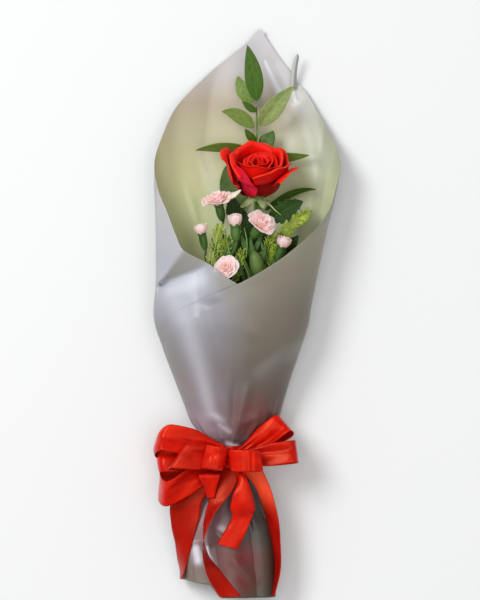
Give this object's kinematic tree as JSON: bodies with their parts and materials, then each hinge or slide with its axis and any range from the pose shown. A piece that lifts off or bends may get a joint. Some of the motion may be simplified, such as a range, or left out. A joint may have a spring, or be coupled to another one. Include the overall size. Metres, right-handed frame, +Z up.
{
  "type": "wrapped rose bouquet",
  "caption": "Single red rose bouquet with pink spray carnations and greens, rolled in frosted film and tied with a red satin bow; lies on its back.",
  "frame": {"origin": "middle of the bounding box, on the surface that the bouquet's back rests on", "axes": "+Y along the stems towards the tip of the wrap, +X to the right, +Z up from the surface, towards the open front of the wrap"},
  "size_m": [0.2016, 0.6212, 0.0879],
  "materials": {
    "frosted_film": "translucent frosted film, soft sheen, faint creases",
    "red_satin": "satin ribbon, anisotropic sheen",
    "rose_petal": "velvety red petal",
    "rose_heart": "deep red rolled petals",
    "rose_leaf": "dark green, waxy, serrated",
    "rose_sepal": "pale green, matt",
    "ruscus_leaf": "mid green, waxy",
    "goldenrod": "yellow-green, feathery",
    "twine": "matt jute",
    "carnation_petal": "pale pink, ruffled, matt",
    "carnation_green": "grey-green calyx, slight wax",
    "stem_green": "green stem, satin"
  },
  "bodies": {
    "root": {"bow_knot": "red_satin", "bow_loop_left_back": "red_satin", "bow_loop_left_front": "red_satin", "bow_loop_left_low": "red_satin", "bow_loop_right_back": "red_satin", "bow_loop_right_front": "red_satin", "bow_loop_right_middle": "red_satin", "bow_loop_small": "red_satin", "carnation_1_petals": "carnation_petal", "carnation_1_stalk": "carnation_green", "carnation_2_petals": "carnation_petal", "carnation_2_stalk": "carnation_green", "carnation_3_petals": "carnation_petal", "carnation_3_stalk": "carnation_green", "carnation_4_petals": "carnation_petal", "carnation_4_stalk": "carnation_green", "carnation_5_petals": "carnation_petal", "carnation_5_stalk": "carnation_green", "carnation_6_petals": "carnation_petal", "carnation_6_stalk": "carnation_green", "carnation_7_petals": "carnation_petal", "carnation_7_stalk": "carnation_green", "carnation_bud": "carnation_green", "film_wrap": "frosted_film", "goldenrod_1": "goldenrod", "goldenrod_2": "goldenrod", "neck_band": "red_satin", "ribbon_tail_centre_left": "red_satin", "ribbon_tail_centre_right": "red_satin", "ribbon_tail_left": "red_satin", "ribbon_tail_right": "red_satin", "rose_heart": "rose_heart", "rose_inner_petal_1": "rose_petal", "rose_inner_petal_2": "rose_petal", "rose_inner_petal_3": "rose_petal", "rose_inner_petal_4": "rose_petal", "rose_leaf_1": "rose_leaf", "rose_leaf_2": "rose_leaf", "rose_leaf_3": "rose_leaf", "rose_outer_petal_1": "rose_petal", "rose_outer_petal_2": "rose_petal", "rose_outer_petal_3": "rose_petal", "rose_outer_petal_4": "rose_petal", "rose_outer_petal_5": "rose_petal", "rose_sepals": "rose_sepal", "rose_stem": "stem_green", "ruscus_leaf_1": "ruscus_leaf", "ruscus_leaf_10": "ruscus_leaf", "ruscus_leaf_2": "ruscus_leaf", "ruscus_leaf_3": "ruscus_leaf", "ruscus_leaf_4": "ruscus_leaf", "ruscus_leaf_5": "ruscus_leaf", "ruscus_leaf_6": "ruscus_leaf", "ruscus_leaf_7": "ruscus_leaf", "ruscus_leaf_8": "ruscus_leaf", "ruscus_leaf_9": "ruscus_leaf", "ruscus_stem": "stem_green", "spray_stem_1": "stem_green", "spray_stem_2": "stem_green", "stem_tie": "twine"}
  },
  "joints": []
}
